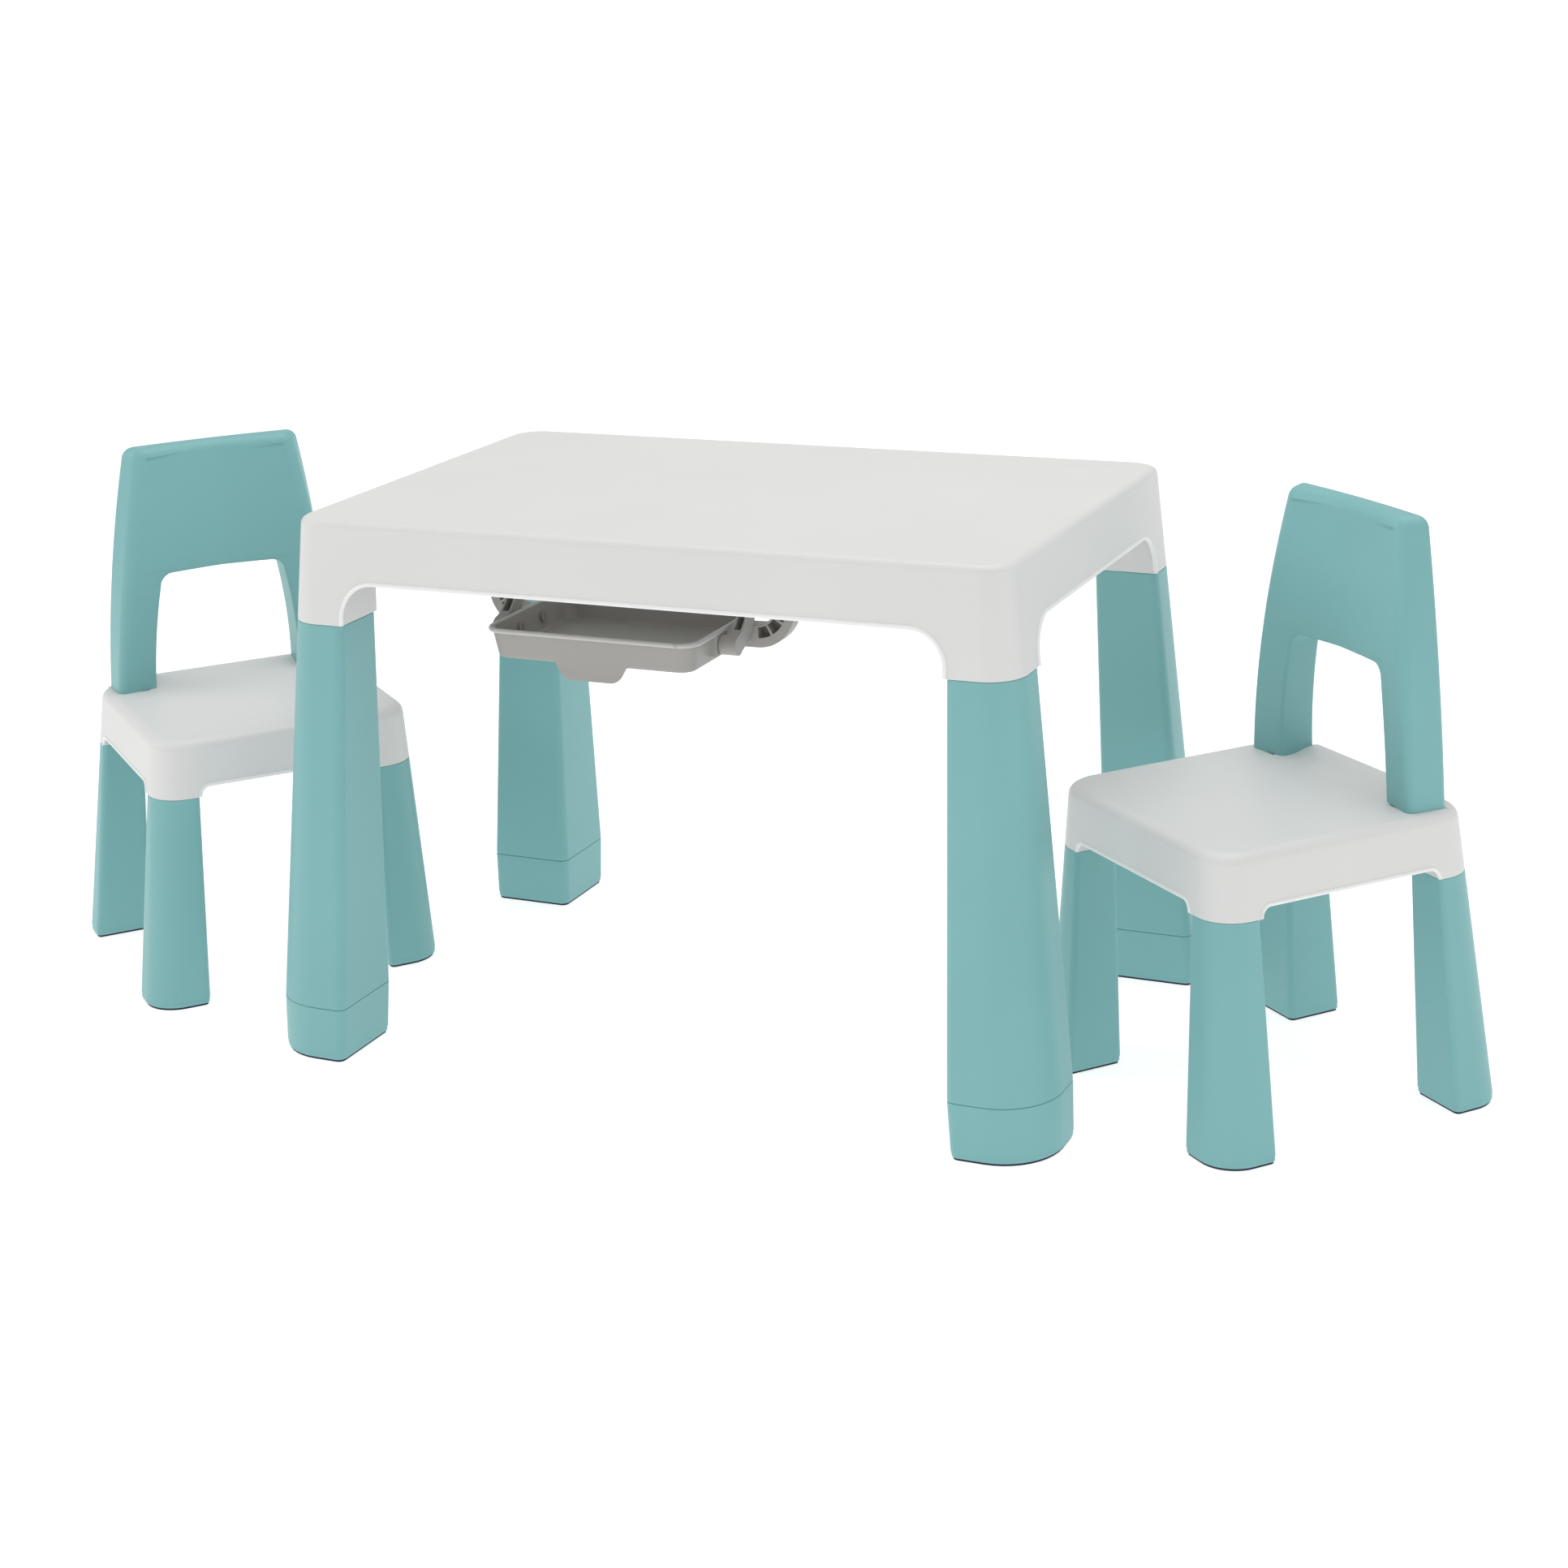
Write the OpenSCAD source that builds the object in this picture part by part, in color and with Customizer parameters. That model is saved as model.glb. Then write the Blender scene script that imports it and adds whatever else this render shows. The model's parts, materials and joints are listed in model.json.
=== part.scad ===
// Children's table with a swing-down tray, and two chairs, all moulded in plastic.
// Millimetres, +Z up, floor at z = 0. The origin is the middle of the set's footprint.
// The table's long side runs along X and its tray opens towards -Y.
// Each chair has its own frame: +X is the sitter's width and +Y points to the backrest.

/* [Table] */
// Length of the tabletop at its upper rim
table_w = 711; // [500:1:1000]
// Depth of the tabletop at its upper rim
table_d = 453; // [380:1:800]
// Height of the tabletop above the floor
table_h = 500; // [440:1:650]
// Height of the apron, from the tabletop down to its lower edge
apron_h = 56; // [50:1:80]
// Depth of the corner sockets below the tabletop
socket_h = 97; // [85:1:130]
// Outward lean of the long faces' ends, mm per mm of height
lean_x = 0.064; // [0:0.002:0.1]
// Outward lean of the long faces, mm per mm of height
lean_y = 0.076; // [0:0.002:0.1]
// Wall of every moulded shell
wall = 3; // [2:0.25:4]
// Thickness of the tabletop plate
top_t = 4; // [3:0.5:8]
// Radius of the tabletop's upper edge
top_edge_r = 7; // [3:0.5:12]
// Radius of the arch where the apron meets a socket
arch_r = 32; // [10:1:36]
// Radius of the tabletop's corners at the rim
corner_r = 29; // [15:1:34]
// Depth of the stiffening ribs under the plate
rib_h = 12; // [6:1:14]

/* [Table legs] */
// Width of a table leg at its joint with the socket
leg_top_w = 63; // [52:1:70]
// Width of a table leg at its foot
leg_foot_w = 87; // [72:1:95]
// Radius of the leg's outer corner at the socket
leg_top_r = 34; // [20:1:40]
// Radius of the leg's outer corner at the foot
leg_foot_r = 54; // [30:1:60]
// Radius of the leg's other corners
leg_inner_r = 8; // [5:0.5:10]
// Height of the plug-in extension, from the floor
extension_h = 49; // [30:1:80]
// Taper of the extension's inner sides towards the floor
extension_taper = 2; // [0:0.25:3]
// Length of the spigot that enters the next piece
spigot_h = 24; // [15:1:30]
// Clearance of a spigot in its socket, each side
spigot_gap = 0.4; // [0.2:0.05:1]
// Thickness of a foot pad
pad_t = 2; // [1:0.5:4]
// How far a foot pad is set in from the foot's edge
pad_inset = 2; // [1:0.5:4]

/* [Chairs] */
// Half width of a chair's footprint
chair_half_w = 148.5; // [125:0.5:180]
// Half depth of a chair's footprint
chair_half_d = 149.5; // [142:0.5:180]
// Height of the sitting surface
seat_h = 258; // [225:1:310]
// Height of the seat's apron
seat_apron_h = 45; // [42:1:52]
// Depth of the seat's corner sockets below the sitting surface
seat_socket_h = 56; // [56:1:70]
// Thickness of the seat plate
seat_t = 4; // [3:0.5:6]
// Radius of the seat's upper edge
seat_edge_r = 10; // [4:0.5:12]
// Radius of the arch where the seat's apron meets a socket
seat_arch_r = 10; // [4:0.5:10]
// Outward lean of the chair's sides, mm per mm of height
chair_lean_x = 0.076; // [0:0.002:0.1]
// Outward lean of the chair's front and back, mm per mm of height
chair_lean_y = 0.067; // [0:0.002:0.1]
// Length of a chair leg's spigot
chair_spigot_h = 16; // [12:1:18]
// Width of a chair leg at its socket
chair_leg_top_w = 43.5; // [38:0.5:50]
// Width of a chair leg at the floor
chair_leg_foot_w = 57; // [50:0.5:64]
// Radius of a chair leg's outer corner
chair_leg_r = 33; // [20:0.5:35]
// Radius of a chair leg's other corners
chair_leg_inner_r = 6; // [4:0.5:8]

/* [Backrest] */
// Height of the backrest's top above the floor
back_h = 508; // [440:1:600]
// Half width of the backrest at the seat
back_half_w = 119; // [110:0.5:121]
// How much each side of the backrest draws in at its top
back_draw_in = 24; // [0:1:35]
// Half width of the opening at the seat
opening_half_w = 81; // [60:0.5:84]
// How much each side of the opening draws in at its top
opening_draw_in = 12; // [0:1:20]
// Height of the opening above the seat
opening_h = 121; // [80:1:150]
// Radius of the opening's upper corners
opening_r = 12; // [4:1:20]
// Front of the backrest's posts behind the chair's middle
back_front_y = 71; // [60:0.5:74]
// Thickness of the posts at the seat
back_bottom_t = 43; // [36:0.5:46]
// Thickness of the backrest at its top
back_top_t = 29; // [20:0.5:40]
// How far the backrest's front leans back at its top
back_lean = 24; // [0:1:40]
// Radius of the backrest's upper corners
back_corner_r = 12; // [4:1:20]
// Height of the ridge between the posts
ridge_h = 4.5; // [2:0.5:10]
// Depth of the ridge, front to back
ridge_d = 41; // [36:1:42]
// Length of the backrest's tenons in the seat
tenon_h = 26; // [18:1:28]
// How far each tenon is set in from its post's faces
tenon_inset = 5; // [3:0.5:8]

/* [Tray] */
// Length of the tray over its rim
tray_w = 217; // [160:1:240]
// Depth of the tray over its rim
tray_d = 158; // [130:1:190]
// Height of the tray's walls
tray_h = 28; // [24:1:40]
// Wall of the tray
tray_wall = 2; // [1.5:0.25:3]
// Width of the rim's outward lip
rim_w = 3; // [2:0.5:5]
// Draw-in of the tray's walls at its floor, each side
tray_draft = 4; // [0:0.5:8]
// Radius of the tray's upright corners
tray_corner_r = 15; // [8:1:25]
// Middle of the tray from the table's middle, along X
tray_x = -66; // [-120:1:120]
// Front of the tray's rim from the table's middle, along Y
tray_front_y = -190; // [-200:1:-150]
// Width of the finger pull at its root
pull_w = 76; // [50:1:100]
// Height of the finger pull
pull_h = 15; // [8:1:20]

/* [Swing arms] */
// Distance between the upper and lower pivots of an arm
arm_len = 90; // [80:1:92]
// Distance between the front and rear pivots
pivot_gap = 43; // [36:1:50]
// Front pivots behind the tray's front edge
pivot_back = 59; // [50:1:80]
// Lower pivots below the tray's rim
pivot_drop = 13; // [11:0.5:15]
// Lower pivots above the floor
pivot_z = 387; // [380:1:390]
// How far the front arms bow back from the line between their pivots
arm_bow = 33.5; // [26:0.5:38]
// Width of the front arms' curved channel
arm_band = 17; // [12:0.5:20]
// Thickness of the front arms along the pivot axis
arm_t = 10.5; // [8:0.5:14]
// Thickness of an arm's flanges and web
arm_wall = 2; // [1.5:0.25:3]
// Outer radius of the rear arms' bend
hook_r = 39; // [34:1:42]
// Band width of the rear arms
hook_band = 21; // [16:1:24]
// Depth of the rear arms, front to back
hook_d = 16; // [10:1:18]
// Radius of the snap pins through the tray's ends
snap_r = 4.5; // [3:0.25:5]
// Radius of the upper pivot pins
pin_r = 3; // [2:0.25:4]
// Running clearance between a pin and its bore
pin_gap = 0.08; // [0.02:0.01:0.1]
// Side clearance between pieces that turn against each other
side_gap = 0.5; // [0.3:0.1:1]

/* [Placing] */
// Middle of the right chair from the table's middle, along X
right_chair_x = 506; // [480:1:700]
// Middle of the right chair from the table's middle, along Y
right_chair_y = -7; // [-60:1:60]
// Turn of the right chair
right_chair_turn = -40; // [-60:1:-20]
// Middle of the left chair from the table's middle, along X
left_chair_x = -557; // [-700:1:-530]
// Middle of the left chair from the table's middle, along Y
left_chair_y = -14; // [-60:1:60]
// Turn of the left chair
left_chair_turn = 50; // [30:1:60]

/* [Hidden] */
$fn = 48;
white = [0.87, 0.87, 0.86];
teal = [0.49, 0.69, 0.69];
grey = [0.62, 0.62, 0.63];
dark = [0.12, 0.13, 0.2];
big_steps = 10;       // facets of a leg's outer corner
small_steps = 4;      // facets of a leg's other corners
edge_steps = 4;       // facets of an upper edge's rounding
curve_steps = 14;     // facets of a backrest's curved side
eps = 0.01;           // overrun of a cut past the face it opens

// Lofts
function arc(c, r, from, to, steps) =
    [for (i = [0:steps]) c + r * [cos(from + (to - from) * i / steps), sin(from + (to - from) * i / steps)]];
function lift(outline, z) = [for (p = outline) [p[0], p[1], z]];
// A leg's section in the ++ quarter: outer corner at (xo, yo), width w.
function leg_section(xo, yo, w, outer_r, inner_r) = concat(
    arc([xo - outer_r, yo - outer_r], outer_r, 0, 90, big_steps),
    arc([xo - w + inner_r, yo - inner_r], inner_r, 90, 180, small_steps),
    arc([xo - w + inner_r, yo - w + inner_r], inner_r, 180, 270, small_steps),
    arc([xo - inner_r, yo - w + inner_r], inner_r, 270, 360, small_steps));
function rounded_rect(hx, hy, r) = concat(
    arc([hx - r, hy - r], r, 0, 90, big_steps),
    arc([r - hx, hy - r], r, 90, 180, big_steps),
    arc([r - hx, r - hy], r, 180, 270, big_steps),
    arc([hx - r, r - hy], r, 270, 360, big_steps));
module loft(rings) {
    n = len(rings[0]);
    last = (len(rings) - 1) * n;
    points = [for (ring = rings) each ring];
    sides = [for (i = [0:len(rings) - 2], k = [0:n - 1])
        let (a = i * n + k, b = i * n + (k + 1) % n) each [[a, a + n, b + n], [a, b + n, b]]];
    floor_face = [for (k = [0:n - 1]) k];
    roof_face = [for (k = [0:n - 1]) last + n - 1 - k];
    polyhedron(points = points, faces = concat([floor_face], sides, [roof_face]), convexity = 6);
}
// Puts a ++ quarter piece in the quarter with signs sx and sy.
module quarter(sx, sy) {
    mirror([sx < 0 ? 1 : 0, 0, 0]) mirror([0, sy < 0 ? 1 : 0, 0]) children();
}

// Footprint: the chairs' reach along X sets the middle of the set.
function turned_reach(turn) = (chair_half_w - chair_leg_r) * abs(cos(turn))
    + (chair_half_d - chair_leg_r) * abs(sin(turn)) + chair_leg_r;
set_right = right_chair_x + turned_reach(right_chair_turn);
set_left = -left_chair_x + turned_reach(left_chair_turn);
table_x = (set_left - set_right) / 2;

// Table
seam_z = table_h - socket_h;
apron_z = table_h - apron_h;
function half_x(z) = table_w / 2 + lean_x * (table_h - z);
function half_y(z) = table_d / 2 + lean_y * (table_h - z);
function table_r(z) = corner_r + (leg_top_r - corner_r) * (table_h - z) / socket_h;
inner_x = half_x(seam_z) - leg_top_w;   // inner faces of the sockets
inner_y = half_y(seam_z) - leg_top_w;

module at_table() translate([table_x, 0, 0]) children();

// Arched window between two sockets, drawn across the apron: span is its half width.
module apron_window(span, low, high, r) {
    translate([-span, low]) square([2 * span, high - r - low]);
    translate([r - span, low]) square([2 * span - 2 * r, high - low]);
    for (s = [-1, 1]) translate([s * (span - r), high - r]) circle(r);
}
module upright_x() rotate([90, 0, 90]) children();   // drawing (y, z), extruded along X
module upright_y() rotate([90, 0, 0]) children();    // drawing (x, z), extruded along -Y
module window_cuts(span_x, span_y, reach_x, reach_y, low, high, r) {
    translate([0, reach_y, 0]) upright_y() linear_extrude(2 * reach_y) apron_window(span_x, low, high, r);
    translate([-reach_x, 0, 0]) upright_x() linear_extrude(2 * reach_x) apron_window(span_y, low, high, r);
}
// Solid block with leaning sides and a rounded upper edge, from z = low to z = high.
function block_rings(hx0, hy0, r0, hx1, hy1, r1, low, high, edge) = concat(
    [lift(rounded_rect(hx0, hy0, r0), low)],
    [for (i = [0:edge_steps]) let (a = 90 * i / edge_steps, inset = edge * (1 - cos(a)))
        lift(rounded_rect(hx1 - inset, hy1 - inset, r1 - inset * 0.5), high - edge + edge * sin(a))]);

module tabletop() color(white) at_table() {
    difference() {
        loft(block_rings(half_x(seam_z), half_y(seam_z), table_r(seam_z),
            half_x(table_h - top_edge_r), half_y(table_h - top_edge_r), corner_r, seam_z, table_h, top_edge_r));
        window_cuts(inner_x, inner_y, table_w, table_d, seam_z - 1, apron_z, arch_r);
        underside_hollow();
        for (sx = [-1, 1], sy = [-1, 1]) quarter(sx, sy) socket_hollow();
    }
    ribs();
}
// The space inside the apron, less the four sockets.
module underside_hollow() {
    roof = table_h - top_t;
    difference() {
        loft([for (z = [seam_z - 1, roof])
            lift(rounded_rect(half_x(z) - wall, half_y(z) - wall, table_r(z) - wall), z)]);
        for (sx = [-1, 1], sy = [-1, 1]) quarter(sx, sy)
            translate([inner_x, inner_y, seam_z - 2]) cube([table_w, table_d, table_h]);
    }
}
module socket_hollow() {
    roof = table_h - top_t;
    loft([for (z = [seam_z - 1, roof]) lift(leg_section(half_x(z) - wall, half_y(z) - wall,
        half_x(z) - inner_x - 2 * wall, table_r(z) - wall, leg_inner_r - wall), z)]);
}
module ribs() {
    rib_t = 2;
    reach_x = inner_x - 1;
    reach_y = inner_y - 1;
    low = table_h - top_t - rib_h;
    rib_x = reach_x * 0.88;
    for (sx = [-1, 1]) translate([sx * rib_x - rib_t / 2, -reach_y, low])
        cube([rib_t, 2 * reach_y, rib_h + eps]);
    translate([-reach_x, reach_y / 2, low]) cube([2 * reach_x, rib_t, rib_h + eps]);
}

module table_leg(sx, sy) color(teal) at_table() quarter(sx, sy) {
    z0 = extension_h;
    z1 = seam_z;
    spigot_tip = wall + 2 * spigot_gap + spigot_h * max(lean_x, lean_y);
    difference() {
        union() {
            loft([leg_ring(z0, leg_foot_w, leg_foot_r, 0), leg_ring(z1, leg_top_w, leg_top_r, 0)]);
            loft([leg_ring_at(z1, z1 - eps, leg_top_w, leg_top_r, wall + spigot_gap),
                leg_ring_at(z1, z1 + spigot_h, leg_top_w, leg_top_r, spigot_tip)]);
        }
        loft([leg_ring_at(z0, z0 - eps, leg_foot_w, leg_foot_r, wall),
            leg_ring(z1, leg_top_w, leg_top_r, 2 * wall + spigot_gap)]);
        loft([leg_ring_at(z1, z1 - 1, leg_top_w, leg_top_r, spigot_tip + wall),
            leg_ring_at(z1, z1 + spigot_h - wall, leg_top_w, leg_top_r, spigot_tip + wall)]);
    }
}
function leg_ring(z, w, r, inset) = leg_ring_at(z, z, w, r, inset);
// A leg's section as it is at height at, set in by inset and lifted to z.
function leg_ring_at(at, z, w, r, inset) = lift(leg_section(half_x(at) - inset, half_y(at) - inset,
    w - 2 * inset, max(r - inset, 2), max(leg_inner_r - inset, 1)), z);

module extension(sx, sy) color(teal) at_table() quarter(sx, sy) {
    top = extension_h;
    low = pad_t;
    spigot_in = wall + spigot_gap;
    difference() {
        union() {
            loft([leg_ring_at(top, low, leg_foot_w - extension_taper, leg_foot_r, 0),
                leg_ring(top, leg_foot_w, leg_foot_r, 0)]);
            loft([leg_ring_at(top, top - eps, leg_foot_w, leg_foot_r, spigot_in),
                leg_ring_at(top, top + spigot_h, leg_foot_w, leg_foot_r, spigot_in + 2)]);
        }
        loft([leg_ring_at(top, low + wall, leg_foot_w, leg_foot_r, spigot_in + wall + 2),
            leg_ring_at(top, top + spigot_h + eps, leg_foot_w, leg_foot_r, spigot_in + wall + 2)]);
    }
}
module table_pad(sx, sy) color(dark) at_table() quarter(sx, sy) {
    linear_extrude(pad_t) polygon(leg_section(half_x(extension_h) - pad_inset, half_y(extension_h) - pad_inset,
        leg_foot_w - extension_taper - 2 * pad_inset, leg_foot_r - pad_inset, leg_inner_r - pad_inset));
}

// Tray and its swing arms
rim_z = pivot_z + pivot_drop;
front_pivot_y = tray_front_y + pivot_back;
rear_pivot_y = front_pivot_y + pivot_gap;
upper_z = pivot_z + arm_len;
tray_y = tray_front_y + tray_d / 2;
end_x = tray_w / 2 - rim_w;             // outer face of the tray's end wall at the rim
boss_x = end_x + rim_w + side_gap;      // inner face of the arms' bosses
channel_x = boss_x + 6.5;               // inner face of the front arms' channel
arm_mid_z = pivot_z + arm_len / 2;
arm_arc_r = (pow(arm_len / 2, 2) + pow(arm_bow, 2)) / (2 * arm_bow);   // middle line of the bow
arm_arc_y = front_pivot_y + arm_bow - arm_arc_r;
arm_turn = asin(arm_len / 2 / arm_arc_r);
arm_out_r = arm_arc_r + arm_band / 2;
arm_in_r = arm_arc_r - arm_band / 2;
hook_x = boss_x + 13;                   // centre of the rear arms' bend
hook_z = pivot_z - 14 + hook_r;
hook_front_y = rear_pivot_y + 4;
stem_x = hook_x + hook_r - hook_band;   // inner face of the rear arms' stem

module at_tray() translate([table_x + tray_x, 0, 0]) children();
module end_side(s) mirror([s < 0 ? 1 : 0, 0, 0]) children();

module tray() color(grey) at_tray() {
    difference() {
        union() {
            tray_block(0, rim_z);
            translate([0, tray_y, rim_z - 2]) linear_extrude(2)
                polygon(rounded_rect(tray_w / 2, tray_d / 2, tray_corner_r + rim_w));
            for (s = [-1, 1]) end_side(s) pivot_pads();
        }
        translate([0, 0, tray_wall]) tray_block(tray_wall, rim_z + eps);
        for (s = [-1, 1], y = [front_pivot_y, rear_pivot_y]) end_side(s)
            translate([end_x - 10, y, pivot_z]) rotate([0, 90, 0]) cylinder(r = snap_r + pin_gap, h = 20);
    }
    finger_pull();
}
// The tray's tapered body, set in by inset, closed at the top at z = top.
module tray_block(inset, top) {
    r = tray_corner_r - inset;
    hx = end_x - inset;
    hy = tray_d / 2 - rim_w - inset;
    low = rim_z - tray_h;
    translate([0, tray_y, 0]) loft([
        lift(rounded_rect(hx - tray_draft - 2, hy - tray_draft - 2, r - 2), low),
        lift(rounded_rect(hx - tray_draft, hy - tray_draft, r), low + 3),
        lift(rounded_rect(hx, hy, r), top)]);
}
// Flat raised pads that the arms' bosses bear on.
module pivot_pads() {
    pad_half = 12;
    for (y = [front_pivot_y, rear_pivot_y])
        translate([end_x - tray_draft, y - pad_half, pivot_z - 9])
            cube([tray_draft + rim_w, 2 * pad_half, 20]);
}
module finger_pull() {
    thickness = 3;
    low = rim_z - tray_h;
    slant = 11;
    front_y = tray_front_y + rim_w + tray_draft;
    translate([0, front_y + thickness, 0]) upright_y() linear_extrude(thickness) polygon([
        [-pull_w / 2, low + 3], [pull_w / 2, low + 3],
        [pull_w / 2 - slant, low - pull_h], [slant - pull_w / 2, low - pull_h]]);
}

// Bowed band in the (y, z) plane, turning from one angle to another.
module bowed_band(out_r, in_r, from, to) polygon(concat(
    arc([0, 0], out_r, from, to, curve_steps), arc([0, 0], in_r, to, from, curve_steps)));
module front_arm(s) color(grey) at_tray() end_side(s) {
    boss_r = arm_band / 2 + 0.6;
    difference() {
        union() {
            translate([channel_x, arm_arc_y, arm_mid_z]) upright_x()
                linear_extrude(arm_t) bowed_band(arm_out_r, arm_in_r, -arm_turn, arm_turn);
            for (z = [pivot_z, upper_z]) translate([channel_x, front_pivot_y, z])
                rotate([0, 90, 0]) cylinder(r = boss_r, h = arm_t);
            translate([boss_x, front_pivot_y, pivot_z]) rotate([0, 90, 0])
                cylinder(r = boss_r, h = channel_x - boss_x + eps);
            snap_pin(front_pivot_y);
        }
        arm_channel();
        translate([channel_x - 1, front_pivot_y, upper_z]) rotate([0, 90, 0])
            cylinder(r = pin_r + pin_gap, h = arm_t + 2);
    }
}
// The groove between the front arm's flanges, open to the inside of its bow, in two bays.
module arm_channel() {
    closed = 16;   // angle of each closed end
    rib = 3;       // half angle of the cross rib
    translate([channel_x + arm_wall, arm_arc_y, arm_mid_z]) upright_x()
        linear_extrude(arm_t - 2 * arm_wall) for (bay = [[closed - arm_turn, -rib], [rib, arm_turn - closed]])
            bowed_band(arm_out_r - arm_wall, arm_in_r - 1, bay[0], bay[1]);
}
// Pin moulded on an arm: it runs through the tray's end wall and keeps a slotted head inside.
module snap_pin(y) {
    head_t = 2;
    wall_in = end_x - tray_wall - tray_draft * (pivot_drop + snap_r + 3.5) / (tray_h - 3);
    difference() {
        translate([wall_in - head_t, y, pivot_z]) rotate([0, 90, 0]) {
            cylinder(r = snap_r, h = boss_x - wall_in + head_t + eps);
            cylinder(r = snap_r + 1, h = head_t - 0.6);
        }
        translate([wall_in - head_t - 1, y - 0.6, pivot_z - 8]) cube([6, 1.2, 16]);
    }
}
module rear_arm(s) color(grey) at_tray() end_side(s) {
    boss_r = 8;
    link_h = 18;
    stem_w = hook_band;
    difference() {
        union() {
            translate([0, hook_front_y + hook_d, 0]) upright_y() linear_extrude(hook_d) hook_outline(hook_r, hook_band);
            translate([boss_x, rear_pivot_y, pivot_z]) rotate([0, 90, 0]) cylinder(r = boss_r, h = 6.5 - side_gap);
            translate([stem_x, rear_pivot_y, upper_z]) rotate([0, 90, 0]) cylinder(r = boss_r, h = stem_w);
            translate([stem_x, rear_pivot_y - boss_r, upper_z - link_h]) cube([stem_w, 2 * boss_r, link_h]);
            snap_pin(rear_pivot_y);
        }
        hook_channel();
        translate([stem_x - 1, rear_pivot_y, upper_z]) rotate([0, 90, 0])
            cylinder(r = pin_r + pin_gap, h = stem_w + 2);
    }
}
// Rear arm seen from the front: a foot, a quarter bend and a stem up to the pivot.
module hook_outline(r, band) {
    top = upper_z - 10;
    polygon(concat([[boss_x, hook_z - r]], arc([hook_x, hook_z], r, -90, 0, curve_steps),
        [[hook_x + r, top], [hook_x + r - band, top]],
        arc([hook_x, hook_z], r - band, 0, -90, curve_steps), [[boss_x, hook_z - r + band]]));
}
// Bays in the front of the rear arm, with ribs left between them and a lip outside.
module hook_channel() {
    lip = 9;
    bays = 3;
    rib_turn = 5;
    out_r = hook_r - lip;
    in_r = hook_r - hook_band + arm_wall;
    translate([hook_x, hook_front_y + hook_d - 3, hook_z]) upright_y()
        linear_extrude(hook_d) for (i = [0:bays - 1]) {
            a0 = -90 + 90 * i / bays + rib_turn / 2;
            a1 = a0 + 90 / bays - rib_turn;
            polygon(concat(arc([0, 0], out_r, a0, a1, 4), arc([0, 0], in_r, a1, a0, 4)));
        }
}

// Bracket plate under the tabletop, with a pair of ears for each arm.
front_ears = [channel_x - 3 - side_gap, channel_x + arm_t + side_gap];
rear_ears = [stem_x - 3 - side_gap, stem_x + hook_band + side_gap];
module tray_bracket(s) color(grey) at_tray() end_side(s) {
    ear_t = 3;
    ear_r = 8;
    plate_t = 3;
    roof = table_h - top_t;
    difference() {
        union() {
            translate([front_ears[0] - 4, front_pivot_y - 14, roof - plate_t])
                cube([rear_ears[1] + ear_t + 4 - front_ears[0] + 4, pivot_gap + 28, plate_t]);
            for (x = front_ears) ear(x, front_pivot_y, ear_t, ear_r, roof);
            for (x = rear_ears) ear(x, rear_pivot_y, ear_t, ear_r, roof);
        }
        for (p = [[front_ears, front_pivot_y], [rear_ears, rear_pivot_y]])
            translate([p[0][0] - 1, p[1], upper_z]) rotate([0, 90, 0])
                cylinder(r = pin_r + pin_gap, h = p[0][1] - p[0][0] + ear_t + 2);
    }
}
module ear(x, y, t, r, roof) {
    translate([x, y, upper_z]) rotate([0, 90, 0]) cylinder(r = r, h = t);
    translate([x, y - r, upper_z]) cube([t, 2 * r, roof - upper_z]);
}
module bracket_pins() color(grey) at_tray() for (s = [-1, 1]) end_side(s) {
    head_r = pin_r + 1.6;
    ear_t = 3;
    for (p = [[front_ears, front_pivot_y], [rear_ears, rear_pivot_y]]) {
        length = p[0][1] - p[0][0] + ear_t;
        translate([p[0][0] - 0.1, p[1], upper_z]) rotate([0, 90, 0]) {
            cylinder(r = pin_r, h = length + 0.2);
            translate([0, 0, -1.5]) cylinder(r = head_r, h = 1.5);
            translate([0, 0, length + 0.2]) cylinder(r = head_r, h = 1.5);
        }
    }
}

// Chairs
seat_seam_z = seat_h - seat_socket_h;
seat_apron_z = seat_h - seat_apron_h;
function chair_x(z) = chair_half_w - chair_lean_x * (z - pad_t);
function chair_y(z) = chair_half_d - chair_lean_y * (z - pad_t);
seat_inner_x = chair_x(seat_seam_z) - chair_leg_top_w;
seat_inner_y = chair_y(seat_seam_z) - chair_leg_top_w;
function chair_ring_at(at, z, w, inset) = lift(leg_section(chair_x(at) - inset, chair_y(at) - inset,
    w - 2 * inset, max(chair_leg_r - inset, 2), max(chair_leg_inner_r - inset, 1)), z);

module right_chair() translate([table_x + right_chair_x, right_chair_y, 0]) rotate(right_chair_turn) children();
module left_chair() translate([table_x + left_chair_x, left_chair_y, 0]) rotate(left_chair_turn) children();

module seat() color(white) {
    roof = seat_h - seat_t;
    difference() {
        union() {
            difference() {
                loft(block_rings(chair_x(seat_seam_z), chair_y(seat_seam_z), chair_leg_r,
                    chair_x(seat_h - seat_edge_r), chair_y(seat_h - seat_edge_r), chair_leg_r,
                    seat_seam_z, seat_h, seat_edge_r));
                window_cuts(seat_inner_x, seat_inner_y, chair_half_w * 2, chair_half_d * 2,
                    seat_seam_z - 1, seat_apron_z, seat_arch_r);
                seat_hollow(roof);
                for (sx = [-1, 1], sy = [-1, 1]) quarter(sx, sy) seat_socket_hollow(roof);
            }
            for (s = [-1, 1]) end_side(s) post_socket(2.5, seat_h - seat_t - tenon_h, seat_h - eps);
            seat_ridge();
        }
        for (s = [-1, 1]) end_side(s) post_socket(0, seat_h - seat_t - tenon_h - eps, seat_h + ridge_h + 1);
    }
}
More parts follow.
